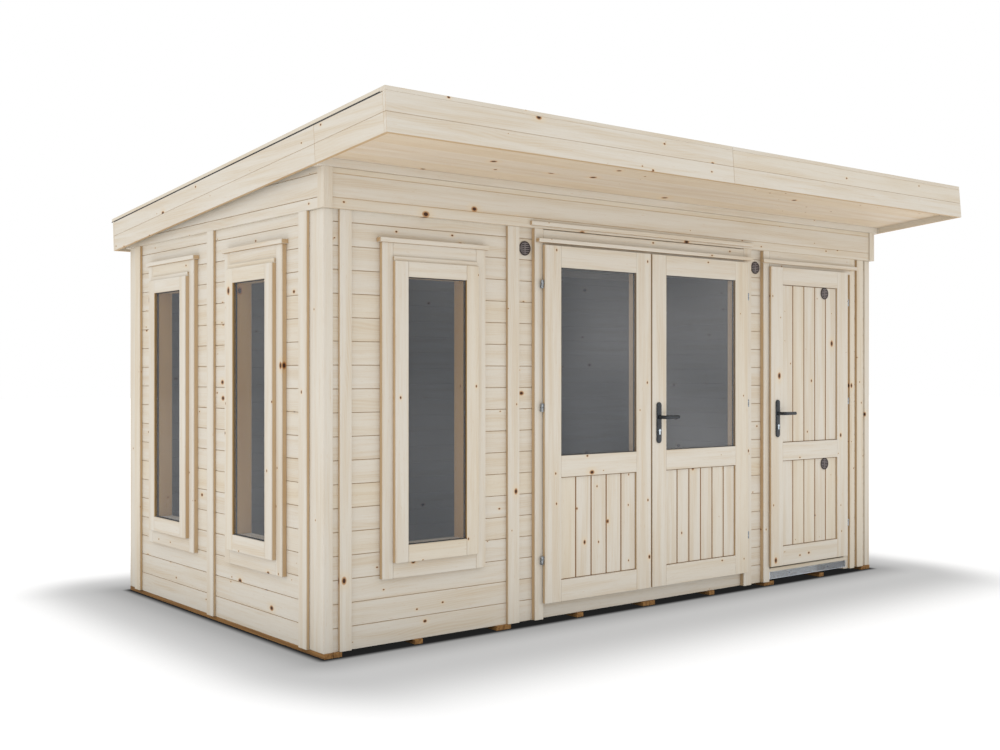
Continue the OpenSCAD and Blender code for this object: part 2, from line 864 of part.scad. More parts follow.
bearers();
floor_joists();
floor_boards();
corner_posts();
front_wall_left();
front_wall_pier();
front_wall_right();
door_heads();
left_wall();
right_wall();
rear_wall();
headers();
gables();
corner_battens();
head_batten();
front_strips();
side_strips();
rear_strips();
window_casings();
window_sashes();
window_glass();
rain_bars();
door_casings();
thresholds();
sill_plate();
frame_hinges();
wall_vents();
left_leaf();
left_leaf_glass();
left_leaf_hinges();
right_leaf();
right_leaf_glass();
right_leaf_hinges();
right_leaf_handle_plate();
right_leaf_lever();
store_leaf();
store_leaf_hinges();
store_leaf_vents();
store_leaf_handle_plate();
store_leaf_lever();
roof_ceiling();
roof_rafters();
roof_deck();
roof_membrane();
front_fascia();
side_fascias();
rear_fascia();
edge_trims();
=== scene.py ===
"""A timber garden pod: boards, joinery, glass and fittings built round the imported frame."""

import math
import random

import bmesh
import bpy
from mathutils import Matrix, Vector


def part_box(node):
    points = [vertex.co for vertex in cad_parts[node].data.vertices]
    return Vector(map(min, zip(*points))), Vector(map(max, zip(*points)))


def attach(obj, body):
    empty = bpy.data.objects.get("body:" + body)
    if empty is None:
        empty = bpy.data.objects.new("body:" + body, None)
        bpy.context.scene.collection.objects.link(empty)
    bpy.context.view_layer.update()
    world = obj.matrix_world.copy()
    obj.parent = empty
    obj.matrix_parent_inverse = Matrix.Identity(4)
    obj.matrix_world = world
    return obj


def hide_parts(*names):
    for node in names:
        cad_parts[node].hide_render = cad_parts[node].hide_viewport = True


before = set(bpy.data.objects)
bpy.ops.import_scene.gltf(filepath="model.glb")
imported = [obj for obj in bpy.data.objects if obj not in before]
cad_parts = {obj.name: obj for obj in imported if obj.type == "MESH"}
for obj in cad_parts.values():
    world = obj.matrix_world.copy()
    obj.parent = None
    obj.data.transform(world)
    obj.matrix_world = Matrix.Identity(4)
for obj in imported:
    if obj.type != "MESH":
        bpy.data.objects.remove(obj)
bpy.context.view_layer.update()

dice = random.Random(7)

# Boards, in metres
BOARD_PITCH = 0.11035     # height that one cladding board covers
FIRST_GROOVE = 0.132      # height of the lowest groove between two cladding boards
GROOVES_IN_WALL = 18      # how many of them a wall has
HEADER_GROOVES = (2.1146, 2.225)    # heights of the grooves in the header and the gables
GROOVE_HALF = (0.0046, 0.0020)      # how deep a groove runs into the board, and half its height
FLOOR_PITCH = 0.12        # width of a floor board
SOFFIT_PITCH = 0.1055     # width of a ceiling board
ROOM_S = (0.69, 2.88)     # where the room lies, down the slope from the roof's front edge
EDGE = 0.0015             # rounding of a planed edge
SEAM = 0.0008             # gap between two boards that meet
THIN_BOARD = 0.03         # an upright board thinner than this has painted shade on its side faces
LIGHT_EDGE = 0.005        # how much of a board's edge, next to its face, stays as light as the face, free of painted shade

# Doors
LEAF_CORE = 0.044         # depth of a leaf behind its lip
LEAF_LIP = 0.014          # how far the lip runs past the core, at the top and one side
LEAF_STILE = 0.112        # width of a stile
LEAF_GLASS_DEPTH = (0.012, 0.018)   # where the pane begins and ends, behind the leaf's face
GLAZED_LEAF_PANEL = (0.221, 0.762)  # heights of the low and the high edge of a boarded panel
STORE_LEAF_PANELS = ((0.235, 0.768), (0.880, 1.862))
PANEL_PITCH = 0.1035      # width of a panel's board
PANEL_T = 0.018           # its thickness
PANEL_INSET = 0.012       # how far it lies behind the face of the stiles
CASING_STEP = 0.004       # how far the double door's head casing stays under its side casings
CASING_REACH = 0.046      # from the store casing's inner edge to the end of its rain bar
JAMB_INSET = 0.017        # how far the store door's bare jamb lies behind its casing

# Glass
GASKET = 0.003            # width and depth of the black glazing gasket
SPACER = 0.010            # depth of the black spacer behind a pane
GLASS_ALPHA = 0.13        # how much of the view each face of a pane takes

# Fittings
LEVER_R = 0.0104          # radius of a lever's bar
LEVER_HUB_R = 0.011       # radius of the collar round its spindle
BARREL_Z = 0.072          # height of the lock cylinder above its plate's foot
BARREL_TAIL = (0.048, 0.068)        # heights of the cylinder's flat tail
RIM_R = 0.0035            # radius of the bead round a vent
BLADES = 6                # blades in a vent
BLADE_HALF_T = 0.0011     # half a blade's thickness
BLADE_SHARE = 0.27        # half its width, as a share of the pitch
BLADE_TILT = math.radians(24)

# Roof
ROOF_SLOPE = math.radians(4.7)
FASCIA_T = 0.019
FASCIA_H = 0.1775
FRONT_JOINT = -0.005      # where the two lengths of the front and rear fascias meet
SIDE_JOINT = 0.589        # the same on the side fascias, down the slope
CEILING_RISE = (0.038, 0.056)       # the ceiling boards' undersides and tops, above the fascias' low edge
FIRST_SEAM = 0.0625       # the first seam between two ceiling boards, down the slope
NARROWEST = 0.020         # width of the narrowest last board
SHEETS = 4                # sheets of membrane across the roof
SHEET_T = 0.0025
SHEET_LAP = 0.040         # how far the strip over a lap runs to each side
SHEET_TAIL = 0.022        # how far the membrane hangs over at the rear
DRIP = 0.004              # how far it shows over the side fascias
TRIM_W = 0.040
TRIM_T = 0.020
TRIM_TAIL = 0.015         # how far the side trims run past the rear fascia


# ---------------------------------------------------------------- finishes

class Finish:
    """A material's node tree, with short calls for what the finishes share."""

    def __init__(self, name, roughness=0.6, specular=0.3):
        self.material = bpy.data.materials.new(name)
        self.material.use_nodes = True
        self.tree = self.material.node_tree
        self.shader = self.tree.nodes["Principled BSDF"]
        self.shader.inputs["Roughness"].default_value = roughness
        self.shader.inputs["Specular IOR Level"].default_value = specular

    def put(self, socket, value):
        """Links a socket, or sets a number or a colour."""
        if isinstance(value, bpy.types.NodeSocket):
            self.tree.links.new(value, socket)
        else:
            socket.default_value = value

    def node(self, kind, values=None, **settings):
        made = self.tree.nodes.new(kind)
        for key, value in settings.items():
            setattr(made, key, value)
        for key, value in (values or {}).items():
            self.put(made.inputs[key], value)
        return made

    def math(self, operation, a, b=0.0, clamp=False):
        made = self.node("ShaderNodeMath", {0: a, 1: b}, operation=operation, use_clamp=clamp)
        return made.outputs[0]

    def scaled(self, value, factor, offset=0.0):
        made = self.node("ShaderNodeMath", {0: value, 1: factor, 2: offset}, operation="MULTIPLY_ADD")
        return made.outputs[0]

    def place(self):
        """The object's own coordinates, whole and as X, Y and Z."""
        where = self.node("ShaderNodeTexCoord").outputs["Object"]
        split = self.node("ShaderNodeSeparateXYZ", {0: where})
        return where, split.outputs

    def vector(self, x, y, z=0.0):
        return self.node("ShaderNodeCombineXYZ", {0: x, 1: y, 2: z}).outputs[0]

    def noise(self, vector, scale=1.0, detail=2.0, roughness=0.5):
        values = {"Vector": vector, "Scale": scale, "Detail": detail, "Roughness": roughness}
        return self.node("ShaderNodeTexNoise", values).outputs["Fac"]

    def ramp(self, factor, low, high):
        """0 below low, 1 above high, smooth between."""
        made = self.node("ShaderNodeMapRange", {"Value": factor, "From Min": low, "From Max": high},
                         interpolation_type="SMOOTHSTEP")
        return made.outputs["Result"]

    def blend(self, factor, a, b, mode="MIX"):
        made = self.node("ShaderNodeMix", data_type="RGBA", blend_type=mode)
        self.put(made.inputs["Factor"], factor)
        self.put(made.inputs["A"], a)
        self.put(made.inputs["B"], b)
        return made.outputs["Result"]

    def colour(self, value):
        self.put(self.shader.inputs["Base Color"], value)

    def bump(self, height, strength, distance):
        made = self.node("ShaderNodeBump", {"Height": height, "Strength": strength, "Distance": distance})
        self.tree.links.new(made.outputs[0], self.shader.inputs["Normal"])


def rgb(red, green, blue):
    return (red, green, blue, 1.0)


PALE_WOOD = rgb(0.624, 0.579, 0.504)
WARM_WOOD = rgb(0.566, 0.490, 0.376)
YELLOW_WOOD = rgb(0.627, 0.536, 0.388)
VEIN = rgb(0.50, 0.355, 0.205)
DARK_FIGURE = rgb(0.545, 0.420, 0.275)
LIGHT_FIGURE = rgb(0.692, 0.648, 0.577)
FIBRE = rgb(0.480, 0.365, 0.240)
FLECK = rgb(0.50, 0.33, 0.17)
KNOT_HALO = rgb(0.66, 0.52, 0.33)
KNOT_RING = rgb(0.40, 0.190, 0.060)
KNOT_HEART = rgb(0.045, 0.016, 0.008)


def knots(finish, along, across, density, radius, keep):
    """Sparse oval knots: the dark heart, the brown ring round it, and a wide faint halo."""
    grid = finish.vector(finish.math("MULTIPLY", along, density),
                         finish.math("MULTIPLY", across, density * 1.45))
    cells = finish.node("ShaderNodeTexVoronoi", {"Vector": grid, "Scale": 1.0}, voronoi_dimensions="2D")
    pick = finish.node("ShaderNodeSeparateColor", {0: cells.outputs["Color"]}).outputs
    chosen = finish.math("LESS_THAN", pick[0], keep)
    near = finish.math("DIVIDE", cells.outputs["Distance"], finish.scaled(pick[1], radius, radius * 0.5))
    rings = []
    for inner, outer in ((0.65, 1.0), (1.05, 1.6), (1.5, 4.5)):
        inside = finish.math("SUBTRACT", 1.0, finish.ramp(near, inner, outer))
        rings.append(finish.math("MULTIPLY", inside, chosen))
    return rings


def spruce(name, grain, stacked=False, tint=None):
    """Planed, unfinished spruce. grain is the axis that the boards run along.
    stacked boards lie one above another and change tone at each groove."""
    finish = Finish(name, roughness=0.62, specular=0.22)
    axes = finish.place()[1]
    order = "XYZ".index(grain)
    along = axes[order]
    across = finish.math("ADD", axes[(order + 1) % 3], axes[(order + 2) % 3])
    board = finish.node("ShaderNodeAttribute", attribute_name="board").outputs["Fac"]
    if stacked:
        level = finish.math("DIVIDE", finish.math("SUBTRACT", axes[2], FIRST_GROOVE), BOARD_PITCH)
        number = finish.math("FLOOR", level)
        tone = finish.node("ShaderNodeTexWhiteNoise", {"W": number}, noise_dimensions="1D").outputs["Value"]
        board = finish.math("ADD", board, tone)
    shift = finish.math("MULTIPLY", board, 23.0)
    run = finish.math("ADD", along, shift)

    def streaks(along_scale, across_scale, **settings):
        grid = finish.vector(finish.math("MULTIPLY", run, along_scale),
                             finish.math("MULTIPLY", across, across_scale), shift)
        return finish.noise(grid, **settings)

    broad = streaks(1.1, 22.0, detail=2.0)
    drift = streaks(1.6, 7.0, detail=1.0)
    figure = streaks(3.6, 105.0, detail=3.0, roughness=0.6)
    fibre = streaks(11.0, 330.0, detail=3.0, roughness=0.7)
    fleck = streaks(26.0, 210.0, detail=1.0)
    rings = finish.math("SINE", finish.math("ADD", finish.math("MULTIPLY", across, 560.0),
                                            finish.math("MULTIPLY", drift, 60.0)))
    rings = finish.scaled(rings, 0.5, 0.5)
    wear = finish.math("FRACT", finish.math("MULTIPLY", board, 7.31))
    colour = finish.blend(finish.scaled(finish.ramp(broad, 0.36, 0.72), 0.55), PALE_WOOD, WARM_WOOD)
    colour = finish.blend(finish.math("MULTIPLY", finish.ramp(wear, 0.62, 1.0), 0.40), colour, YELLOW_WOOD)
    veins = finish.math("MULTIPLY", rings, finish.ramp(broad, 0.42, 0.70))
    colour = finish.blend(finish.scaled(veins, 0.26), colour, VEIN)
    layers = ((figure, 0.50, 0.78, 0.34, DARK_FIGURE), (figure, 0.50, 0.20, 0.22, LIGHT_FIGURE),
              (fibre, 0.50, 0.80, 0.26, FIBRE), (fleck, 0.70, 0.82, 0.45, FLECK))
    for pattern, low, high, share, shade in layers:
        colour = finish.blend(finish.scaled(finish.ramp(pattern, low, high), share), colour, shade)
    # knots: a dark heart in a brown ring, in slightly yellower wood
    seed_across = finish.math("ADD", across, finish.math("MULTIPLY", board, 3.7))
    big = knots(finish, run, seed_across, 2.7, 0.030, 0.36)
    small = knots(finish, run, seed_across, 6.1, 0.026, 0.22)
    heart, ring, halo = (finish.math("MAXIMUM", one, other) for one, other in zip(big, small))
    for pattern, share, shade in ((halo, 0.30, KNOT_HALO), (ring, 0.85, KNOT_RING),
                                  (heart, 0.97, KNOT_HEART)):
        colour = finish.blend(finish.scaled(pattern, share), colour, shade)
    # tint multiplies the wood for painted shade, and for the eaves' ceiling painted light
    if tint:
        colour = finish.blend(1.0, colour, rgb(*tint), mode="MULTIPLY")
    finish.colour(colour)
    relief = finish.math("ADD", finish.scaled(fibre, 0.6), finish.scaled(rings, 0.25))
    finish.bump(relief, 0.3, 0.0008)
    return finish.material


def treated_timber(name):
    """Brown pressure-treated softwood, streaked front to back."""
    finish = Finish(name, roughness=0.75, specular=0.2)
    axes = finish.place()[1]
    scales = (60.0, 2.0, 60.0)
    grid = finish.vector(*(finish.math("MULTIPLY", axis, scale) for axis, scale in zip(axes, scales)))
    streak = finish.noise(grid, detail=4.0)
    finish.colour(finish.blend(finish.ramp(streak, 0.3, 0.7), rgb(0.33, 0.175, 0.062),
                               rgb(0.20, 0.10, 0.035)))
    finish.bump(streak, 0.4, 0.001)
    return finish.material


def window_glass(name):
    """Clear glass with a thin grey-blue veil, partly its own tint and partly painted reflection that is
    lighter in soft patches and towards +X, so that the frame behind it and the dim room show through.
    """
    finish = Finish(name, roughness=0.03, specular=1.0)
    where, axes = finish.place()
    # painted reflection: the veil lightens in soft patches and towards +X
    reflection_patches = finish.noise(where, scale=1.3, detail=1.0)
    painted_reflection = finish.math("ADD", finish.scaled(reflection_patches, 0.8), finish.scaled(finish.ramp(axes[0], -1.8, 1.0), 0.35))
    finish.colour(finish.blend(finish.ramp(painted_reflection, 0.30, 0.90), rgb(0.215, 0.240, 0.270),
                               rgb(0.560, 0.580, 0.610)))
    finish.shader.inputs["Alpha"].default_value = GLASS_ALPHA
    finish.shader.inputs["IOR"].default_value = 1.52
    return finish.material


def plain_finish(name, colour, second, roughness, metallic=0.0, grain=60.0, specular=0.5):
    """Paint, plastic, rubber or metal: a slight mottle in colour and roughness, and a fine bump."""
    finish = Finish(name, roughness=roughness, specular=specular)
    finish.shader.inputs["Metallic"].default_value = metallic
    where = finish.place()[0]
    mottle = finish.noise(where, scale=grain, detail=3.0)
    finish.colour(finish.blend(finish.ramp(mottle, 0.3, 0.7), rgb(*colour), rgb(*second)))
    finish.put(finish.shader.inputs["Roughness"], finish.scaled(mottle, 0.12, roughness - 0.06))
    finish.bump(mottle, 0.15, 0.0004)
    return finish.material


def felt(name):
    """Mineral roofing felt: dark granules over faint broad patches."""
    finish = Finish(name, roughness=0.88, specular=0.25)
    where = finish.place()[0]
    patches = finish.noise(where, scale=1.7, detail=4.0, roughness=0.6)
    grit = finish.noise(where, scale=420.0, detail=1.0)
    speckle = finish.noise(where, scale=95.0, detail=3.0, roughness=0.8)
    colour = finish.blend(finish.ramp(patches, 0.35, 0.65), rgb(0.026, 0.027, 0.029),
                          rgb(0.050, 0.050, 0.051))
    for pattern, low, share, shade in ((speckle, 0.48, 0.55, rgb(0.098, 0.096, 0.093)),
                                       (grit, 0.56, 0.60, rgb(0.140, 0.138, 0.135))):
        high = 0.66
        colour = finish.blend(finish.scaled(finish.ramp(pattern, low, high), share), colour, shade)
    finish.colour(colour)
    finish.bump(finish.math("ADD", grit, speckle), 0.6, 0.0015)
    return finish.material


def galvanised(name):
    """New zinc: flat flakes with a cool tone, nearly white, partly its own pale colour and partly painted
    light and painted reflection.
    """
    finish = Finish(name, roughness=0.35, specular=0.5)
    where = finish.place()[0]
    flakes = finish.node("ShaderNodeTexVoronoi", {"Vector": where, "Scale": 90.0}).outputs["Color"]
    grey = finish.node("ShaderNodeSeparateColor", {0: flakes}).outputs[0]
    finish.colour(finish.blend(grey, rgb(0.84, 0.90, 0.98), rgb(0.95, 0.98, 1.0)))
    return finish.material


# Tints that multiply the colour of spruce, each a painted shade
EDGE_SHADE_TINT = (0.84, 0.66, 0.46)      # painted shade, warm brown, on the side faces and undersides of boards
GROOVE_SHADE_TINT = (0.46, 0.29, 0.16)    # painted shade on the sides of a V groove in a door panel
SEAM_SHADE_TINT = (0.86, 0.75, 0.62)      # painted shade on the sides of a fine groove between two boards
ROOM_SHADE_TINT = (0.36, 0.35, 0.34)      # painted shade on inside faces, for the dim room
REVEAL_SHADE_TINT = (0.84, 0.56, 0.23)    # painted warm shade on the sides of a sash, behind its glass
BOARDS = {axis: spruce("spruce_" + axis.lower(), axis) for axis in "XYZ"}
CLADDING = {axis: spruce("cladding_" + axis.lower(), axis, stacked=True) for axis in "XY"}
EDGES = {axis: spruce("edge_" + axis.lower(), axis, tint=EDGE_SHADE_TINT) for axis in "XYZ"}
SHADED_GROOVE = spruce("groove_z", "Z", tint=GROOVE_SHADE_TINT)
SHADED_SEAMS = {axis: spruce("seam_" + axis.lower(), axis, tint=SEAM_SHADE_TINT) for axis in "XY"}
ROOM_SHADE = {axis: spruce("room_" + axis.lower(), axis, tint=ROOM_SHADE_TINT) for axis in "XY"}
SHADED_REVEAL = spruce("reveal_z", "Z", tint=REVEAL_SHADE_TINT)
# painted light: a lighter, warmer spruce for the ceiling boards under the eaves
LIT_CEILING = spruce("ceiling_spruce", "X", tint=(1.07, 1.00, 0.93))
# painted shade: a darker spruce for the floor inside the dim room
SHADED_FLOORING = spruce("floor_spruce", "X", tint=(0.50, 0.43, 0.35))
TREATED = treated_timber("treated_timber")
GLASS = window_glass("grey_glass")
BLACK = plain_finish("black_lacquer", (0.006, 0.008, 0.011), (0.018, 0.024, 0.032), 0.26)
CYLINDER = plain_finish("lock_cylinder", (0.55, 0.63, 0.70), (0.70, 0.78, 0.85), 0.25, metallic=0.8)
ZINC = plain_finish("hinge_zinc", (0.12, 0.135, 0.15), (0.42, 0.46, 0.50), 0.28, metallic=0.60, grain=200.0)
SPANGLE = galvanised("galvanised_sheet")
VENT = plain_finish("vent_brown", (0.030, 0.020, 0.020), (0.050, 0.036, 0.035), 0.45)
BLADE = plain_finish("vent_blade", (0.150, 0.124, 0.122), (0.200, 0.170, 0.166), 0.45)
# painted shade: a near-black disc for the shaded hole behind a vent's blades
HOLE_SHADE = plain_finish("vent_inside", (0.010, 0.008, 0.008), (0.016, 0.012, 0.012), 0.8)
RUBBER = plain_finish("black_gasket", (0.014, 0.014, 0.016), (0.024, 0.024, 0.026), 0.6)
FELT = felt("roof_membrane")


# ---------------------------------------------------------------- making

def deselect():
    bpy.ops.object.select_all(action="DESELECT")


def use(obj):
    deselect()
    obj.select_set(True)
    bpy.context.view_layer.objects.active = obj


def apply_place(obj):
    """Moves an object's place, turn and scale into its mesh."""
    use(obj)
    bpy.ops.object.transform_apply(location=True, rotation=True, scale=True)


def round_edges(obj, width, segments=1):
    use(obj)
    bpy.ops.object.mode_set(mode="EDIT")
    bpy.ops.mesh.select_all(action="SELECT")
    bpy.ops.mesh.bevel(offset=width, segments=segments, affect="EDGES")
    bpy.ops.object.mode_set(mode="OBJECT")


def mark_board(obj):
    """Gives a board its own number, which the wood turns into its own tone and figure."""
    values = obj.data.attributes.new("board", "FLOAT", "POINT")
    number = dice.random()
    for item in values.data:
        item.value = number


def paint(obj, material, chosen):
    """Gives a material to the faces that a test picks."""
    obj.data.materials.append(material)
    place = len(obj.data.materials) - 1
    for face in obj.data.polygons:
        if chosen(face):
            face.material_index = place


def split_behind_face(board, lo, hi, thin):
    """Cuts a line round the board's edges, just behind its outer face, and returns a test for what
    lies behind that line, which takes the painted shade. thin is the axis that the outer face looks along."""
    outer, inner = (lo[thin], hi[thin]) if lo[thin] + hi[thin] < 0 else (hi[thin], lo[thin])
    line = outer + math.copysign(LIGHT_EDGE, inner - outer)
    normal = Vector([float(axis == thin) for axis in range(3)])
    mesh = bmesh.new()
    mesh.from_mesh(board.data)
    whole = [*mesh.verts, *mesh.edges, *mesh.faces]
    bmesh.ops.bisect_plane(mesh, geom=whole, plane_co=normal * line, plane_no=normal)
    mesh.to_mesh(board.data)
    mesh.free()
    return lambda face: (face.center[thin] - line) * (inner - outer) > 0


def slab(lo, hi, material, edge=EDGE, brown="", grain="Z", groove=None):
    """A planed board between two corners. Faces along the brown axes take painted shade behind a light strip
    at the outer face ("z" is the underside alone), and groove is the material of the bevels, their painted
    shade."""
    lo, hi = Vector(lo), Vector(hi)
    deselect()
    bpy.ops.mesh.primitive_cube_add(size=1.0, location=(lo + hi) / 2)
    board = bpy.context.object
    board.scale = hi - lo
    apply_place(board)
    round_edges(board, min(edge, min(hi - lo) * 0.3))
    board.data.materials.append(material)
    if brown:
        level = next(axis for axis in brown + grain + "X" if axis in "XY")
        behind = split_behind_face(board, lo, hi, 1 if level == "X" else 0)
    for axis in brown:
        if axis == "z":
            paint(board, EDGES[grain], lambda face: face.normal.z < -0.9)
        else:
            flat = "XYZ".index(axis)
            paint(board, EDGES[grain], lambda face: abs(face.normal[flat]) > 0.9 and behind(face))
    if groove:
        paint(board, groove, lambda face: max(abs(part) for part in face.normal) < 0.9)
    mark_board(board)
    return board


def longest(lo, hi):
    """The axis that a board runs along."""
    size = Vector(hi) - Vector(lo)
    return "XYZ"[max(range(3), key=lambda axis: size[axis])]


def join(name, parts):
    deselect()
    for part in parts:
        part.select_set(True)
    bpy.context.view_layer.objects.active = parts[0]
    if len(parts) > 1:
        bpy.ops.object.join()
    parts[0].name = name
    parts[0].data.name = name
    return parts[0]


def fit(piece, node, body="pod"):
    """The piece rides on its body and stands for its CAD node."""
    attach(piece, body)
    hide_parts(node)
    return piece


def cad_copy(node):
    """A copy of a CAD node's mesh, merged and with its flat faces whole."""
    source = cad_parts[node]
    copied = source.data.copy()
    made = bpy.data.objects.new(node + "_copy", copied)
    bpy.context.scene.collection.objects.link(made)
    made.data.materials.clear()
    use(made)
    bpy.ops.object.mode_set(mode="EDIT")
    bpy.ops.mesh.select_all(action="SELECT")
    bpy.ops.mesh.remove_doubles(threshold=0.00001)
    bpy.ops.mesh.dissolve_limited(angle_limit=math.radians(0.5))
    bpy.ops.object.mode_set(mode="OBJECT")
    return made


def solids(node):
    """The corners of each solid in a CAD node, left to right, front to back."""
    mesh = bmesh.new()
    mesh.from_mesh(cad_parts[node].data)
    bmesh.ops.remove_doubles(mesh, verts=mesh.verts, dist=0.00001)
    left = set(mesh.verts)
    found = []
    while left:
        front = [left.pop()]
        group = list(front)
        while front:
            vert = front.pop()
            for edge in vert.link_edges:
                other = edge.other_vert(vert)
                if other in left:
                    left.remove(other)
                    front.append(other)
                    group.append(other)
        corners = [vert.co for vert in group]
        lo = Vector([min(c[axis] for c in corners) for axis in range(3)])
        hi = Vector([max(c[axis] for c in corners) for axis in range(3)])
        found.append((lo, hi))
    mesh.free()
    return sorted(found, key=lambda pair: (round(pair[0].x, 3), round(pair[0].y, 3), pair[0].z))


def boards_of(name, node, edge=EDGE, sides=True):
    """Each solid of a CAD node as one planed board. sides gives thin upright boards painted shade on their
    side faces.
    """
    parts = []
    for lo, hi in solids(node):
        grain = longest(lo, hi)
        size = hi - lo
        brown = ""
        if sides and grain == "Z" and min(size.x, size.y) < THIN_BOARD:
            brown = "Y" if size.x < size.y else "X"
        parts.append(slab(lo, hi, BOARDS[grain], edge, brown=brown))
    return fit(join(name, parts), node)


# ---------------------------------------------------------------- walls

def groove_rows(axis, start, end, faces, levels):
    """Narrow V cutters along X or Y, one at each level on each face plane."""
    cutters = []
    for face in faces:
        turn = (0.0, math.pi / 2, 0.0) if axis == "X" else (math.pi / 2, 0.0, 0.0)
        middle = (start + end) / 2
        where = (middle, face, levels[0]) if axis == "X" else (face, middle, levels[0])
        deselect()
        bpy.ops.mesh.primitive_cylinder_add(vertices=4, radius=1.0, depth=end - start, location=where,
                                            rotation=turn)
        cutter = bpy.context.object
        apply_place(cutter)
        use(cutter)
        bpy.ops.object.mode_set(mode="EDIT")
        bpy.ops.mesh.select_all(action="SELECT")
        deep, half = GROOVE_HALF
        shape = (1.0, deep, half) if axis == "X" else (deep, 1.0, half)
        bpy.ops.transform.resize(value=shape, center_override=where)
        bpy.ops.object.mode_set(mode="OBJECT")
        if len(levels) > 1:
            rows = cutter.modifiers.new("rows", "ARRAY")
            rows.use_relative_offset = False
            rows.use_constant_offset = True
            rows.constant_offset_displace = (0.0, 0.0, (levels[-1] - levels[0]) / (len(levels) - 1))
            rows.count = len(levels)
            use(cutter)
            bpy.ops.object.modifier_apply(modifier="rows")
        # the panel's second material is the seams' painted shade, so the cutter's faces carry that number too
        cutter.data.materials.append(SHADED_SEAMS[axis])
        paint(cutter, SHADED_SEAMS[axis], lambda face: True)
        cutters.append(cutter)
    return join("groove_cutters", cutters)


def carve(piece, cutter):
    """Takes the cutter's shape out of the piece."""
    cut = piece.modifiers.new("cut", "BOOLEAN")
    cut.operation = "DIFFERENCE"
    cut.solver = "EXACT"
    cut.object = cutter
    use(piece)
    bpy.ops.object.modifier_apply(modifier="cut")
    bpy.data.objects.remove(cutter)


WALL_LEVELS = [FIRST_GROOVE + BOARD_PITCH * row for row in range(GROOVES_IN_WALL)]


def wall(name, node, axis, levels=WALL_LEVELS, faces=None, materials=CLADDING):
    """A wall panel whose boards show as grooves, outside and inside."""
    lo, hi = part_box(node)
    piece = cad_copy(node)
    piece.data.materials.append(materials[axis])
    piece.data.materials.append(SHADED_SEAMS[axis])
    across = 1 if axis == "X" else 0
    along = 0 if axis == "X" else 1
    planes = faces or (lo[across], hi[across])
    cutter = groove_rows(axis, lo[along] - 0.01, hi[along] + 0.01, planes, levels)
    carve(piece, cutter)
    # the inside faces take painted shade for the dim room
    if not faces:
        inside = min(planes, key=abs)
        paint(piece, ROOM_SHADE[axis], lambda face: abs(face.center[across] - inside) < 0.008)
    piece.name = name
    return fit(piece, node)


def walls():
    """The six grooved wall panels, the heads over the doors and the gables."""
    for node in ("front_wall_left", "front_wall_pier", "front_wall_right", "rear_wall"):
        wall(node + "_boards", node, "X")
    for node in ("left_wall", "right_wall"):
        wall(node + "_boards", node, "Y")
    boards_of("door_head_boards", "door_heads", edge=0.001)
    first, second = solids("gables")
    wall("gable_boards", "gables", "Y", HEADER_GROOVES, faces=(first[0].x, second[1].x), materials=BOARDS)


def headers():
    """Three boards in front, one behind."""
    front, rear = sorted(solids("headers"), key=lambda pair: pair[0].y)
    parts = []
    lo, hi = front
    levels = [lo.z, *HEADER_GROOVES, hi.z]
    # the bevels between the front boards take the seams' painted shade
    for low, high in zip(levels, levels[1:]):
        parts.append(slab((lo.x, lo.y, low), (hi.x, hi.y, high), BOARDS["X"], edge=0.0020, groove=SHADED_SEAMS["X"]))
    fit(join("front_header", parts), "headers")
    rear_board = cad_copy("headers")
    use(rear_board)
    bpy.ops.object.mode_set(mode="EDIT")
    bpy.ops.mesh.select_all(action="DESELECT")
    bpy.ops.object.mode_set(mode="OBJECT")
    for vert in rear_board.data.vertices:
        vert.select = vert.co.y < (front[1].y + rear[0].y) / 2
    bpy.ops.object.mode_set(mode="EDIT")
    bpy.ops.mesh.delete(type="VERT")
    bpy.ops.object.mode_set(mode="OBJECT")
    rear_board.data.materials.append(BOARDS["X"])
    round_edges(rear_board, EDGE)
    mark_board(rear_board)
    rear_board.name = "rear_header"
    fit(rear_board, "headers")


def sloped_piece(name, node, material):
    """A CAD node with a sloping top, its edges planed."""
    piece = cad_copy(node)
    piece.data.materials.append(material)
    round_edges(piece, EDGE)
    mark_board(piece)
    piece.name = name
    return fit(piece, node)


# ---------------------------------------------------------------- windows

class Wall:
    """Maps a window's own frame (X across, Y inwards, Z up) onto the front or the left wall."""

    def __init__(self, lo, hi):
        self.front = hi.x - lo.x > hi.y - lo.y
        self.lo, self.hi = lo, hi

    def flat(self):
        """The axis along the wall."""
        return "X" if self.front else "Y"

    def span(self):
        return (self.lo.x, self.hi.x) if self.front else (self.lo.y, self.hi.y)

    def depth(self):
        return (self.lo.y, self.hi.y) if self.front else (self.lo.x, self.hi.x)

    def corners(self, a0, a1, d0, d1, z0, z1):
        if self.front:
            return (a0, d0, z0), (a1, d1, z1)
        return (d0, a0, z0), (d1, a1, z1)


def four_members(side, a0, a1, d0, d1, z0, z1, stile, low, top, edge):
    """Two stiles and two rails round an opening."""
    # the stiles' side faces and the rails' undersides take painted shade
    upright = {"material": BOARDS["Z"], "edge": edge, "brown": side.flat()}
    level = {"material": BOARDS[side.flat()], "edge": edge, "brown": "z", "grain": side.flat()}
    rail0, rail1 = a0 + stile + SEAM, a1 - stile - SEAM
    return [
        slab(*side.corners(a0, a0 + stile, d0, d1, z0, z1), **upright),
        slab(*side.corners(a1 - stile, a1, d0, d1, z0, z1), **upright),
        slab(*side.corners(rail0, rail1, d0, d1, z0, z0 + low), **level),
        slab(*side.corners(rail0, rail1, d0, d1, z1 - top, z1), **level),
    ]


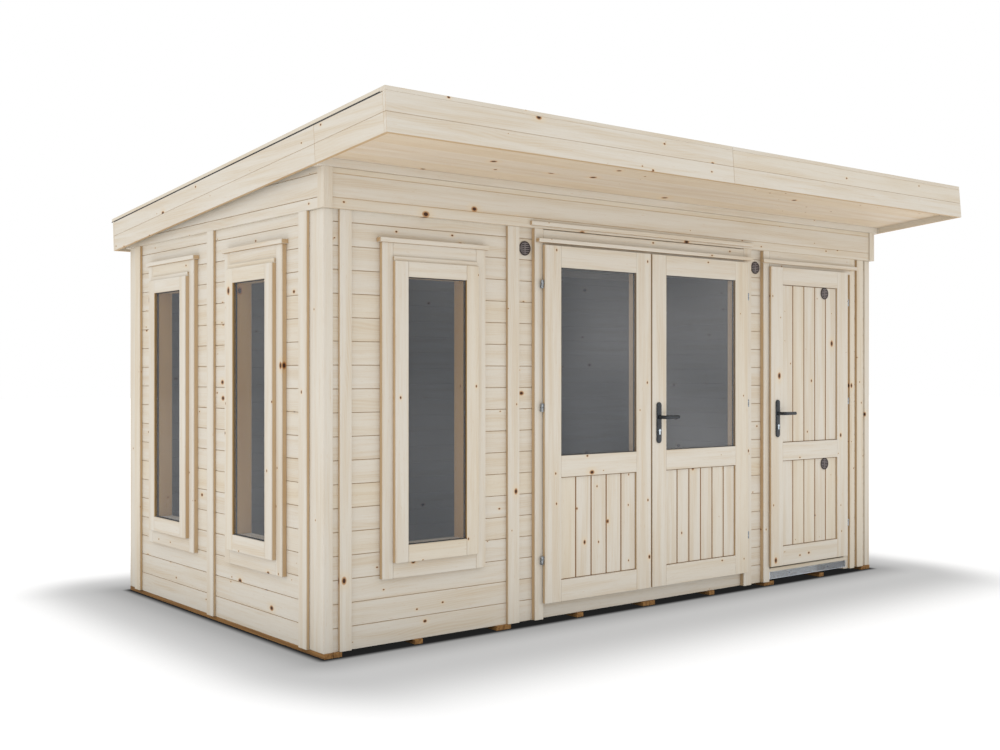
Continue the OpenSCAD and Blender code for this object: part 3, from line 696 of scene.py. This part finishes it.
def gasket(side, a0, a1, d0, d1, z0, z1):
    """A black strip all round a pane."""
    inner0, inner1 = a0 + GASKET, a1 - GASKET
    strips = [
        side.corners(a0, inner0, d0, d1, z0, z1),
        side.corners(inner1, a1, d0, d1, z0, z1),
        side.corners(inner0, inner1, d0, d1, z0, z0 + GASKET),
        side.corners(inner0, inner1, d0, d1, z1 - GASKET, z1),
    ]
    return [slab(lo, hi, RUBBER, edge=0.001) for lo, hi in strips]


def joined_frame(outer, inner, edge):
    """Stiles and rails that fill what lies between two boxes, as wide as the gap on each side."""
    side = Wall(*outer)
    a0, a1 = side.span()
    d0, d1 = side.depth()
    (lo, hi), (inner_lo, inner_hi) = outer, inner
    stile = Wall(*inner).span()[0] - a0
    return four_members(side, a0, a1, d0, d1, lo.z, hi.z, stile, inner_lo.z - lo.z, hi.z - inner_hi.z, edge)


def windows():
    """Casing, sash, gaskets and pane of each tall window."""
    casing_parts, sash_parts, pane_parts = [], [], []
    for casing, sash, glass in zip(solids("window_casings"), solids("window_sashes"), solids("window_glass")):
        casing_parts += joined_frame(casing, sash, 0.0015)
        members = joined_frame(sash, glass, 0.002)
        pane = Wall(*glass)
        flat = "XY".index(pane.flat())
        # the stiles' inner sides take painted shade, seen through the glass
        for stile, towards in zip(members[:2], (1, -1)):
            paint(stile, SHADED_REVEAL, lambda face: face.normal[flat] * towards > 0.9)
        sash_parts += members
        g0, g1 = pane.span()
        front, back = pane.depth()
        low, high = pane.lo.z, pane.hi.z
        sash_parts += gasket(pane, g0, g1, front - GASKET, front, low, high)
        sash_parts += gasket(pane, g0, g1, back, back + SPACER, low, high)
        pane_parts.append(slab(*glass, GLASS, edge=0.0008))
    fit(join("window_casing_boards", casing_parts), "window_casings")
    fit(join("window_sash_frames", sash_parts), "window_sashes")
    fit(join("window_panes", pane_parts), "window_glass")


def rain_bars():
    """Small capping strips, planed on top, with painted shade on their ends and undersides."""
    parts = []
    for lo, hi in solids("rain_bars"):
        grain = longest(lo, hi)
        parts.append(slab(lo, hi, BOARDS[grain], edge=0.0015, brown=grain + "z", grain=grain))
    fit(join("rain_bar_strips", parts), "rain_bars")


# ---------------------------------------------------------------- doors

def door_casings():
    """Upright and level casing boards round both doorways, and the bare jamb by the store leaf."""
    big, store = solids("door_casings")
    opening_l, opening_r = solids("door_heads")
    parts = []
    # the uprights' side faces take painted shade
    upright = {"material": BOARDS["Z"], "brown": "X"}
    lo, hi = big
    parts.append(slab(lo, (opening_l[0].x, hi.y, hi.z), **upright))
    parts.append(slab((opening_l[1].x, lo.y, lo.z), hi, **upright))
    parts.append(slab((opening_l[0].x + SEAM, lo.y, opening_l[0].z),
                      (opening_l[1].x - SEAM, hi.y, hi.z - CASING_STEP), BOARDS["X"]))
    lo, hi = store
    jamb_x0 = opening_r[1].x
    jamb_x1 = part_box("rain_bars")[1].x - CASING_REACH
    parts.append(slab(lo, (opening_r[0].x, hi.y, hi.z), **upright))
    parts.append(slab((jamb_x1, lo.y, lo.z), hi, **upright))
    parts.append(slab((jamb_x0, lo.y + JAMB_INSET, lo.z), (jamb_x1, hi.y, opening_r[0].z), **upright))
    parts.append(slab((opening_r[0].x + SEAM, lo.y, opening_r[0].z), (jamb_x1 - SEAM, hi.y, hi.z),
                      BOARDS["X"]))
    fit(join("door_casing_boards", parts), "door_casings")


def leaf_boards(lo, hi, x0, x1, y0):
    """The upright boards of a panel, with a V at each joint whose sides take painted shade."""
    count = max(1, round((x1 - x0) / PANEL_PITCH))
    pitch = (x1 - x0) / count
    parts = []
    for place in range(count):
        left = x0 + place * pitch
        parts.append(slab((left + 0.0003, y0, lo), (left + pitch - 0.0003, y0 + PANEL_T, hi), BOARDS["Z"],
                          edge=0.0042, groove=SHADED_GROOVE))
    return parts


def door_leaf(node, panels, lip_side):
    """Stiles, rails and boarded panels. panels lists (low, high, is_glass) from the bottom up."""
    lo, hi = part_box(node)
    back = hi.y
    lip_back = back - LEAF_CORE
    left_lip = LEAF_LIP if lip_side == "left" else 0.0
    right_lip = LEAF_LIP - left_lip
    top = hi.z - LEAF_LIP
    x0, x1 = lo.x, hi.x
    inner0, inner1 = x0 + LEAF_STILE, x1 - LEAF_STILE
    # the stiles' side faces take painted shade
    upright = {"material": BOARDS["Z"], "brown": "X"}
    parts = [
        slab((x0, lo.y, lo.z), (inner0, lip_back, hi.z), **upright),
        slab((inner1, lo.y, lo.z), (x1, lip_back, hi.z), **upright),
        slab((x0 + left_lip, lip_back, lo.z), (inner0, back, top), **upright),
        slab((inner1, lip_back, lo.z), (x1 - right_lip, back, top), **upright),
    ]
    rail_x0, rail_x1 = inner0 + SEAM / 2, inner1 - SEAM / 2
    levels = [lo.z] + [level for panel in panels for level in panel[:2]] + [hi.z]
    for low, high in zip(levels[0::2], levels[1::2]):
        parts.append(slab((rail_x0, lo.y, low), (rail_x1, lip_back, high), BOARDS["X"]))
        parts.append(slab((rail_x0, lip_back, low), (rail_x1, back, min(high, top)), BOARDS["X"]))
    for low, high, is_glass in panels:
        if is_glass:
            side = Wall(lo, hi)
            front, rear = (lo.y + depth for depth in LEAF_GLASS_DEPTH)
            parts += gasket(side, inner0, inner1, front - GASKET, front, low, high)
            parts += gasket(side, inner0, inner1, rear, rear + SPACER, low, high)
        else:
            parts += leaf_boards(low, high, inner0, inner1, lo.y + PANEL_INSET)
    return fit(join(node + "_joinery", parts), node, node)


def leaves():
    """The double door's two leaves with their panes, and the store door's leaf."""
    glass_lo, glass_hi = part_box("left_leaf_glass")
    glazed_panels = [(*GLAZED_LEAF_PANEL, False), (glass_lo.z, glass_hi.z, True)]
    door_leaf("left_leaf", glazed_panels, "left")
    door_leaf("right_leaf", glazed_panels, "right")
    door_leaf("store_leaf", [(*panel, False) for panel in STORE_LEAF_PANELS], "left")
    for body in ("left_leaf", "right_leaf"):
        lo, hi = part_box(body + "_glass")
        pane = slab(lo, hi, GLASS, edge=0.0008)
        pane.name = body + "_pane"
        fit(pane, body + "_glass", body)


def handle(body, plate_node, lever_node, lever_body):
    """A long plate with round ends and a lock cylinder, and a lever that bends off its spindle."""
    lo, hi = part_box(plate_node)
    plate = cad_copy(plate_node)
    plate.data.materials.append(BLACK)
    soften(plate, 0.0025, 3)
    middle = (lo.x + hi.x) / 2
    barrel = turned(24, 0.0085, 0.006, (middle, lo.y - 0.001, lo.z + BARREL_Z))
    soften(barrel, 0.001, 2)
    barrel.data.materials.append(CYLINDER)
    low, high = BARREL_TAIL
    tail = slab((middle - 0.005, lo.y - 0.004, lo.z + low), (middle + 0.005, lo.y + 0.002, lo.z + high),
                CYLINDER, edge=0.0015)
    fit(join(plate_node + "_trim", [plate, barrel, tail]), plate_node, body)
    lo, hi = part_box(lever_node)
    z = (lo.z + hi.z) / 2
    spindle_x = lo.x + LEVER_HUB_R
    bar_y = lo.y + LEVER_R + 0.0002
    path = [(spindle_x, hi.y, z), (spindle_x, bar_y + 0.016, z), (spindle_x + 0.004, bar_y + 0.004, z),
            (spindle_x + 0.014, bar_y, z), (spindle_x + 0.060, bar_y, z), (hi.x - 0.001, bar_y + 0.001, z)]
    bar = tube(path, LEVER_R, BLACK)
    collar = turned(32, LEVER_HUB_R, 0.012, (spindle_x, hi.y - 0.006, z))
    soften(collar, 0.0012, 2)
    collar.data.materials.append(BLACK)
    fit(join(lever_node + "_bar", [bar, collar]), lever_node, lever_body)


def soften(obj, width, segments):
    """Rounds the sharp edges and shades the rest smooth."""
    use(obj)
    cut = obj.modifiers.new("soft", "BEVEL")
    cut.width = width
    cut.segments = segments
    cut.limit_method = "ANGLE"
    cut.angle_limit = math.radians(40)
    bpy.ops.object.modifier_apply(modifier="soft")
    bpy.ops.object.shade_smooth_by_angle(angle=math.radians(40))


def turned(vertices, radius, depth, place):
    """A short cylinder that looks along Y."""
    deselect()
    bpy.ops.mesh.primitive_cylinder_add(vertices=vertices, radius=radius, depth=depth, location=place,
                                        rotation=(math.pi / 2, 0, 0))
    made = bpy.context.object
    apply_place(made)
    return made


def tube(points, radius, material):
    """A round bar along a smooth path, with closed ends."""
    curve = bpy.data.curves.new("bar", "CURVE")
    curve.dimensions = "3D"
    curve.bevel_depth = radius
    curve.bevel_resolution = 6
    curve.resolution_u = 10
    curve.use_fill_caps = True
    line = curve.splines.new("NURBS")
    line.points.add(len(points) - 1)
    for point, place in zip(line.points, points):
        point.co = (*place, 1.0)
    line.use_endpoint_u = True
    line.order_u = 3
    obj = bpy.data.objects.new("bar", curve)
    bpy.context.scene.collection.objects.link(obj)
    use(obj)
    bpy.ops.object.convert(target="MESH")
    obj = bpy.context.object
    bpy.ops.object.shade_smooth()
    obj.data.materials.append(material)
    return obj


def hinges():
    """Barrels with turned ends, half on the frame and half on the leaf."""
    bodies = {"frame_hinges": "pod", "left_leaf_hinges": "left_leaf", "right_leaf_hinges": "right_leaf",
              "store_leaf_hinges": "store_leaf"}
    for node, body in bodies.items():
        piece = cad_copy(node)
        soften(piece, 0.001, 2)
        piece.data.materials.append(ZINC)
        piece.name = node + "_barrels"
        fit(piece, node, body)


def vents(name, node, body):
    """Round louvred grilles: a rim, a near-black disc in the throat as painted shade of the hole, and slanted
    blades.
    """
    parts = []
    for lo, hi in solids(node):
        centre = (lo + hi) / 2
        radius = (hi.x - lo.x) / 2
        throat = turned(48, radius * 0.9, 0.002, (centre.x, hi.y - 0.001, centre.z))
        soften(throat, 0.0004, 1)
        throat.data.materials.append(HOLE_SHADE)
        deselect()
        bpy.ops.mesh.primitive_torus_add(major_radius=radius - RIM_R, minor_radius=RIM_R, major_segments=48,
                                         minor_segments=12, location=(centre.x, hi.y - 0.0030, centre.z),
                                         rotation=(math.pi / 2, 0, 0))
        rim = bpy.context.object
        apply_place(rim)
        use(rim)
        bpy.ops.object.shade_smooth()
        rim.data.materials.append(VENT)
        parts += [throat, rim]
        step = 2 * (radius - 0.008) / BLADES
        for place in range(BLADES):
            level = (place - (BLADES - 1) / 2) * step
            half = math.sqrt(max((radius - 0.006) ** 2 - level ** 2, 0.0001))
            corner = Vector((half, BLADE_HALF_T, step * BLADE_SHARE))
            blade = slab(-corner, corner, BLADE, edge=0.0005)
            blade.rotation_euler = (BLADE_TILT, 0, 0)
            blade.location = (centre.x, lo.y + 0.0026, centre.z + level)
            apply_place(blade)
            parts.append(blade)
        parts.append(slab((centre.x - 0.0028, lo.y + 0.0004, lo.z + 0.006),
                          (centre.x + 0.0028, lo.y + 0.004, hi.z - 0.006), BLADE, edge=0.0008))
    fit(join(name, parts), node, body)


def sill():
    """The galvanised plate under the store door, with two screws."""
    lo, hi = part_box("sill_plate")
    # the plate's nearly white colour is partly painted light and painted reflection
    parts = [slab(lo, hi, SPANGLE, edge=0.0004)]
    for share in (0.25, 0.75):
        deselect()
        where = (lo.x + (hi.x - lo.x) * share, lo.y, (lo.z + hi.z) / 2)
        bpy.ops.mesh.primitive_uv_sphere_add(segments=16, ring_count=8, radius=0.0045, location=where)
        screw = bpy.context.object
        screw.scale = (1.0, 0.35, 1.0)
        apply_place(screw)
        use(screw)
        bpy.ops.object.shade_smooth()
        screw.data.materials.append(ZINC)
        parts.append(screw)
    fit(join("sill_sheet", parts), "sill_plate")


# ---------------------------------------------------------------- roof

fascia_lo, fascia_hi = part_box("front_fascia")
ROOF_START = Vector((0.0, fascia_lo.y, fascia_lo.z + FASCIA_T * math.sin(ROOF_SLOPE)))
ROOF_X = (fascia_lo.x, fascia_hi.x)
ROOF_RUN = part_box("rear_fascia")[1].y - fascia_lo.y - FASCIA_H * math.sin(ROOF_SLOPE)
ROOF_LEN = ROOF_RUN / math.cos(ROOF_SLOPE)


def roof_slab(lo, hi, material, edge=EDGE, **finish):
    """A board in the roof's own frame: X, down the slope from the front edge, square to it."""
    board = slab(lo, hi, material, edge, **finish)
    board.matrix_world = Matrix.Translation(ROOF_START) @ Matrix.Rotation(-ROOF_SLOPE, 4, "X")
    apply_place(board)
    return board


def fascia_boards(x0, x1, s0, s1, joint, along, top=FASCIA_H):
    """Two boards, one over the other, each in two lengths that meet at the joint."""
    parts = []
    half = FASCIA_H / 2
    # the bevels take the seams' painted shade, and the lower board's underside the edges' painted shade
    finish = {"material": BOARDS[along], "edge": 0.001, "groove": SHADED_SEAMS[along], "grain": along}
    for low, high in ((0.0, half - SEAM / 2), (half + SEAM / 2, top)):
        under = "" if low else "z"
        start, end = (x0, x1) if along == "X" else (s0, s1)
        for a, b in ((start, joint - SEAM / 2), (joint + SEAM / 2, end)):
            corners = ((a, s0, low), (b, s1, high)) if along == "X" else ((x0, a, low), (x1, b, high))
            parts.append(roof_slab(*corners, brown=under, **finish))
    return parts


def fascias():
    """Front, rear and side fascias, each of two boards one over the other."""
    x0, x1 = ROOF_X
    front = fascia_boards(x0, x1, 0.0, FASCIA_T, FRONT_JOINT, "X")
    fit(join("front_fascia_boards", front), "front_fascia")
    rear = fascia_boards(x0, x1, ROOF_LEN - FASCIA_T, ROOF_LEN, FRONT_JOINT, "X")
    fit(join("rear_fascia_boards", rear), "rear_fascia")
    sides = []
    for a, b in ((x0, x0 + FASCIA_T), (x1 - FASCIA_T, x1)):
        sides += fascia_boards(a, b, FASCIA_T, ROOF_LEN - FASCIA_T, SIDE_JOINT, "Y", FASCIA_H - DRIP)
    fit(join("side_fascia_boards", sides), "side_fascias")


def ceiling():
    """Boards from the front fascia to the rear one, with painted shade inside the room and a lighter, warmer
    painted light outside it.
    """
    x0, x1 = ROOF_X
    low, high = CEILING_RISE
    end = ROOF_LEN - FASCIA_T
    rows = math.ceil(end / SOFFIT_PITCH)
    seams = [FASCIA_T] + [FIRST_SEAM + SOFFIT_PITCH * row for row in range(rows)]
    seams = [seam for seam in seams if seam < end - NARROWEST] + [end]
    parts = []
    for a, b in zip(seams, seams[1:]):
        wood = ROOM_SHADE["X"] if ROOM_S[0] < a and b < ROOM_S[1] else LIT_CEILING
        parts.append(roof_slab((x0 + FASCIA_T, a, low), (x1 - FASCIA_T, b - 0.0002, high), wood, edge=0.0012))
    fit(join("ceiling_boards", parts), "roof_ceiling")


def membrane():
    """Lapped sheets, and a strip that shows as a dark line over each side fascia."""
    x0, x1 = ROOF_X
    base = FASCIA_H
    width = (x1 - x0) / SHEETS
    tail = ROOF_LEN + SHEET_TAIL
    sheets = []
    for place in range(SHEETS):
        left = x0 + place * width
        sheets.append(roof_slab((left, TRIM_W, base), (left + width, tail, base + SHEET_T), FELT,
                                edge=0.0004))
        if place:
            sheets.append(roof_slab((left - SHEET_LAP, TRIM_W + 0.002, base + 0.0024),
                                    (left + SHEET_LAP, tail - 0.001, base + 0.0040), FELT, edge=0.0005))
    for a, b in ((x0, x0 + FASCIA_T), (x1 - FASCIA_T, x1)):
        sheets.append(roof_slab((a, TRIM_W, base - DRIP), (b, ROOF_LEN - FASCIA_T, base), FELT, edge=0.0003))
    fit(join("membrane_sheets", sheets), "roof_membrane")


def edge_trims():
    """The trims that hold the membrane along the front and the sides."""
    x0, x1 = ROOF_X
    base, top = FASCIA_H, FASCIA_H + TRIM_T
    trims = []
    for a, b in ((x0, FRONT_JOINT - SEAM / 2), (FRONT_JOINT + SEAM / 2, x1)):
        trims.append(roof_slab((a, 0.0, base), (b, TRIM_W, top), BOARDS["X"]))
    for a, b in ((x0, x0 + TRIM_W), (x1 - TRIM_W, x1)):
        trims.append(roof_slab((a, TRIM_W, base + SHEET_T), (b, ROOF_LEN + TRIM_TAIL, top), BOARDS["Y"]))
    fit(join("roof_edge_trims", trims), "edge_trims")


def roof():
    fascias()
    ceiling()
    membrane()
    edge_trims()
    for node, axis in (("roof_rafters", "Y"), ("roof_deck", "X")):
        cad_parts[node].data.materials.clear()
        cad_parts[node].data.materials.append(BOARDS[axis])


# ---------------------------------------------------------------- floor

def floor_and_bearers():
    """Bearers, the wide ones in two timbers, then joists and floor boards."""
    parts = []
    for lo, hi in solids("bearers"):
        if hi.x - lo.x > 0.06:
            middle = (lo.x + hi.x) / 2
            parts.append(slab(lo, (middle - SEAM, hi.y, hi.z), TREATED))
            parts.append(slab((middle + SEAM, lo.y, lo.z), hi, TREATED))
        else:
            parts.append(slab(lo, hi, TREATED))
    fit(join("bearer_timbers", parts), "bearers")
    parts = [slab(lo, hi, TREATED) for lo, hi in solids("floor_joists")]
    fit(join("joist_timbers", parts), "floor_joists")
    lo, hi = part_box("floor_boards")
    count = round((hi.y - lo.y) / FLOOR_PITCH)
    pitch = (hi.y - lo.y) / count
    # the floor boards take painted shade for the dim room
    parts = [slab((lo.x, lo.y + pitch * row, lo.z), (hi.x, lo.y + pitch * (row + 1) - 0.0004, hi.z),
                  SHADED_FLOORING) for row in range(count)]
    fit(join("floor_planks", parts), "floor_boards")


# ---------------------------------------------------------------- the pod

walls()
headers()
sloped_piece("head_batten_board", "head_batten", BOARDS["X"])
sloped_piece("corner_batten_boards", "corner_battens", BOARDS["Z"])
boards_of("corner_post_timbers", "corner_posts", edge=0.002, sides=False)
for strips in ("front_strips", "side_strips", "rear_strips"):
    boards_of(strips + "_boards", strips)
rain_bars()
boards_of("threshold_boards", "thresholds", edge=0.002, sides=False)
windows()
door_casings()
leaves()
handle("right_leaf", "right_leaf_handle_plate", "right_leaf_lever", "right_lever")
handle("store_leaf", "store_leaf_handle_plate", "store_leaf_lever", "store_lever")
hinges()
vents("wall_vent_grilles", "wall_vents", "pod")
vents("store_vent_grilles", "store_leaf_vents", "store_leaf")
sill()
roof()
floor_and_bearers()


# ---------------------------------------------------------------- studio

POD_X = 2.10              # half the width of the walls
POD_Y = (-0.90, 1.40)     # the front and rear of the walls


def lamp(place, aim, wide, high, power):
    """A broad soft light that the camera doesn't see."""
    deselect()
    bpy.ops.object.light_add(type="AREA", location=place)
    made = bpy.context.object
    made.data.shape = "RECTANGLE"
    made.data.size = wide
    made.data.size_y = high
    made.data.energy = power
    made.rotation_euler = (Vector(aim) - made.location).to_track_quat("-Z", "Y").to_euler()
    made.visible_camera = False
    made.visible_glossy = False
    made.visible_transmission = False


def studio():
    """A white floor that glows, with the pod's soft shadow painted on it and a stronger glow further out, an
    even white sky, a broad light from the left and two low strips that brighten the foot of the front and
    left walls."""
    deselect()
    bpy.ops.mesh.primitive_plane_add(size=120.0, location=(0.0, 0.0, -0.001))
    ground = bpy.context.object
    ground.name = "studio_floor"
    finish = Finish("studio_floor", roughness=0.9, specular=0.0)
    axes = finish.place()[1]
    side = finish.math("MAXIMUM", finish.math("SUBTRACT", finish.math("ABSOLUTE", axes[0]), POD_X), 0.0)
    front = finish.math("MAXIMUM", finish.math("SUBTRACT", POD_Y[0], axes[1]), 0.0)
    rear = finish.math("MAXIMUM", finish.math("SUBTRACT", axes[1], POD_Y[1]), 0.0)

    def reach(side_size, front_size):
        parts = [finish.math("POWER", finish.math("DIVIDE", part, size), 2.0)
                 for part, size in ((side, side_size), (front, front_size), (rear, side_size))]
        return finish.math("SQRT", finish.math("ADD", finish.math("ADD", parts[0], parts[1]), parts[2]))

    far = reach(0.70, 1.15)
    near = reach(1.0, 1.0)
    # painted shadow: a broad soft band round the pod, wider in front, deeper near the walls and nearly black
    # under them
    light = finish.scaled(finish.ramp(far, 0.35, 1.05), 0.44, 0.56)
    # further out the floor glows brighter, painted light that lights the pod from below
    light = finish.math("ADD", light, finish.scaled(finish.ramp(far, 1.05, 2.2), 0.25))
    light = finish.math("MULTIPLY", light, finish.scaled(finish.ramp(near, 0.0, 0.32), 0.36, 0.64))
    light = finish.math("MULTIPLY", light, finish.scaled(finish.ramp(near, 0.0, 0.06), 0.95, 0.05))
    finish.colour(finish.blend(light, rgb(0.0, 0.0, 0.0), rgb(0.26, 0.26, 0.26)))
    finish.put(finish.shader.inputs["Emission Color"], rgb(1.0, 1.0, 1.0))
    finish.put(finish.shader.inputs["Emission Strength"], finish.scaled(light, 0.78))
    ground.data.materials.append(finish.material)
    world = bpy.data.worlds.new("white_sky")
    bpy.context.scene.world = world
    world.use_nodes = True
    sky = world.node_tree.nodes["Background"]
    sky.inputs["Color"].default_value = rgb(1.0, 1.0, 1.0)
    sky.inputs["Strength"].default_value = 1.0
    lamp((-9.0, -1.5, 3.5), (0.0, 0.0, 1.0), 6.0, 6.0, 45.0)
    lamp((0.2, -2.9, 0.25), (0.2, 0.0, 0.25), 4.4, 0.3, 9.5)
    lamp((-4.0, 0.2, 0.25), (0.0, 0.2, 0.25), 2.6, 0.3, 5.0)
    bpy.context.scene.view_settings.view_transform = "Standard"


def camera():
    """A level camera at eye height, off the front left corner."""
    deselect()
    turn = (math.radians(90), 0, math.radians(-38.49))
    bpy.ops.object.camera_add(location=(-4.903, -5.7143, 1.300), rotation=turn)
    eye = bpy.context.object
    eye.data.lens = 43.5
    eye.data.sensor_width = 36.0
    eye.data.clip_end = 400.0
    bpy.context.scene.camera = eye


studio()
camera()
